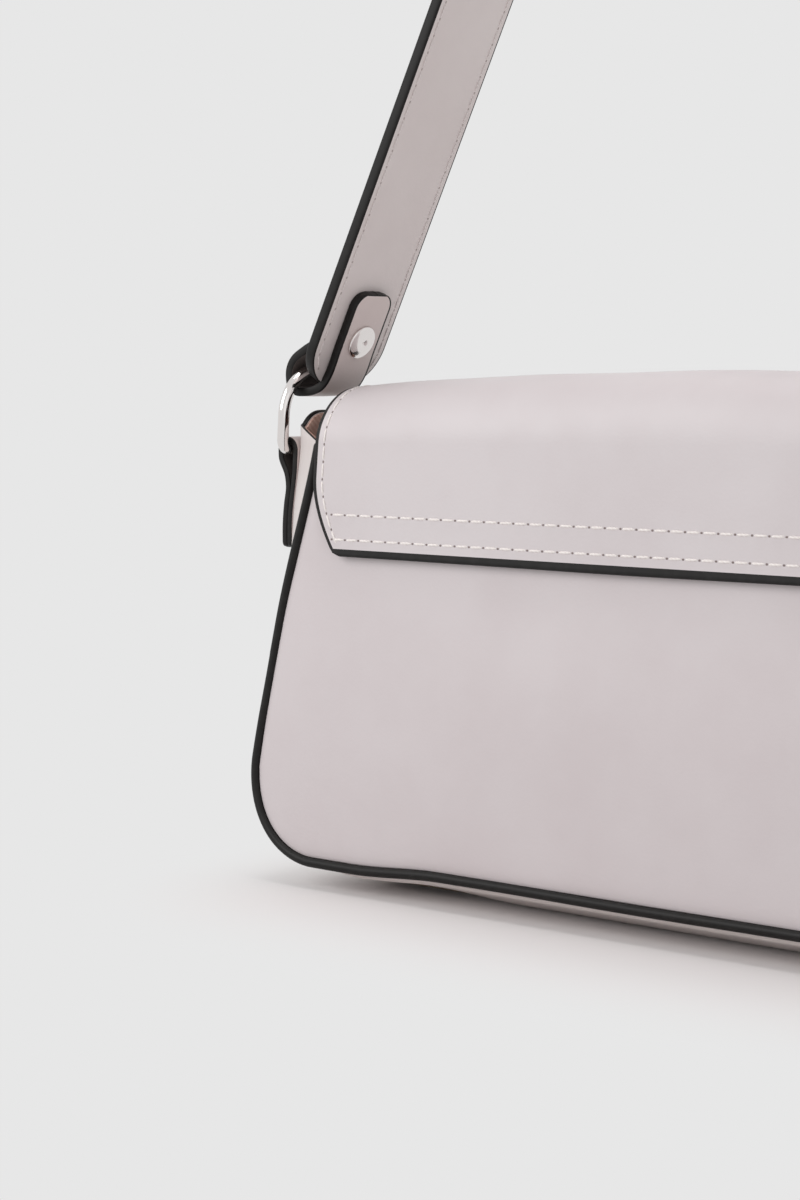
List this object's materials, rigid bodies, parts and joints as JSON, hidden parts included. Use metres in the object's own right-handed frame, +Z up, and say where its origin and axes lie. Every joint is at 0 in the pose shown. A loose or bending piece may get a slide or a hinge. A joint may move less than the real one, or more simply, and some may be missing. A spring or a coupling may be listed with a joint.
{
  "type": "baguette bag",
  "caption": "Small leather shoulder bag with a fold-over flap, piped edges, bulging end gussets, D-rings on leather tabs and a short riveted strap.",
  "frame": {"origin": "middle of the flat base, on the surface that the bag stands on", "axes": "+X along the bag to the right as seen from its back, -Y out of the back panel, where the flap is sewn down, +Z up towards the strap"},
  "size_m": [0.2688, 0.0622, 0.3444],
  "materials": {
    "grey_leather": "smooth semi-matt",
    "black_piping": "smooth satin",
    "peach_lining": "matt",
    "board": "matt",
    "polished_metal": "polished"
  },
  "bodies": {
    "bag": {"back_panel": "grey_leather", "front_panel": "grey_leather", "left_gusset": "grey_leather", "bottom_gusset": "grey_leather", "right_gusset": "grey_leather", "back_piping": "black_piping", "front_piping": "black_piping", "back_lining": "peach_lining", "front_lining": "peach_lining", "gusset_lining": "peach_lining", "base_board": "board", "flap_back": "grey_leather", "panel_snap": "polished_metal", "left_tab": "grey_leather", "right_tab": "grey_leather", "left_ring": "polished_metal", "right_ring": "polished_metal"},
    "flap": {"flap_front": "grey_leather", "flap_lining": "peach_lining", "flap_snap": "polished_metal"},
    "strap": {"strap": "grey_leather", "left_strap_tongue": "grey_leather", "right_strap_tongue": "grey_leather", "left_rivet": "polished_metal", "right_rivet": "polished_metal"}
  },
  "joints": [
    {"name": "flap_hinge", "type": "hinge", "parent": "bag", "child": "flap", "pos_m": [0, -0.0046, 0.1425], "axis": [1, 0, 0], "range_deg": [0, 95]},
    {"name": "strap_swing", "type": "hinge", "parent": "bag", "child": "strap", "pos_m": [0, 0, 0.133], "axis": [1, 0, 0], "range_deg": [-15, 50]}
  ]
}
